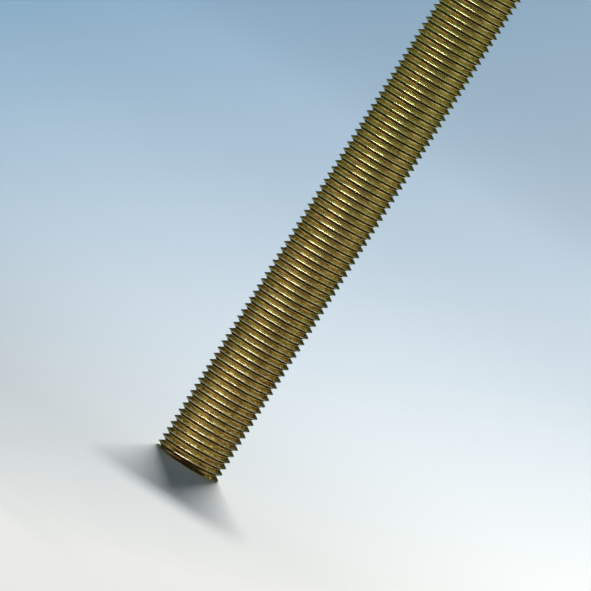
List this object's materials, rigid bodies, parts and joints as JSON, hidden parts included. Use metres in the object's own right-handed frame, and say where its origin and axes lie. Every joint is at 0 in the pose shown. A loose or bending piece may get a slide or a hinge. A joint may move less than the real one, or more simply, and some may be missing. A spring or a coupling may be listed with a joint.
{
  "type": "threaded tube",
  "caption": "Brass tube with a fine right-hand thread over its whole length, sawn square at both ends; joins lamp parts with nuts while a cable runs through its plain bore.",
  "frame": {"origin": "centre of the lower sawn end, on the surface that the tube stands on", "axes": "+Z along the tube's axis towards the other end; the thread is right-handed about it"},
  "size_m": [0.0098, 0.0098, 0.08],
  "materials": {
    "brass": "raw, as cut, lightly tarnished"
  },
  "bodies": {
    "root": {"threaded_tube": "brass"}
  },
  "joints": []
}
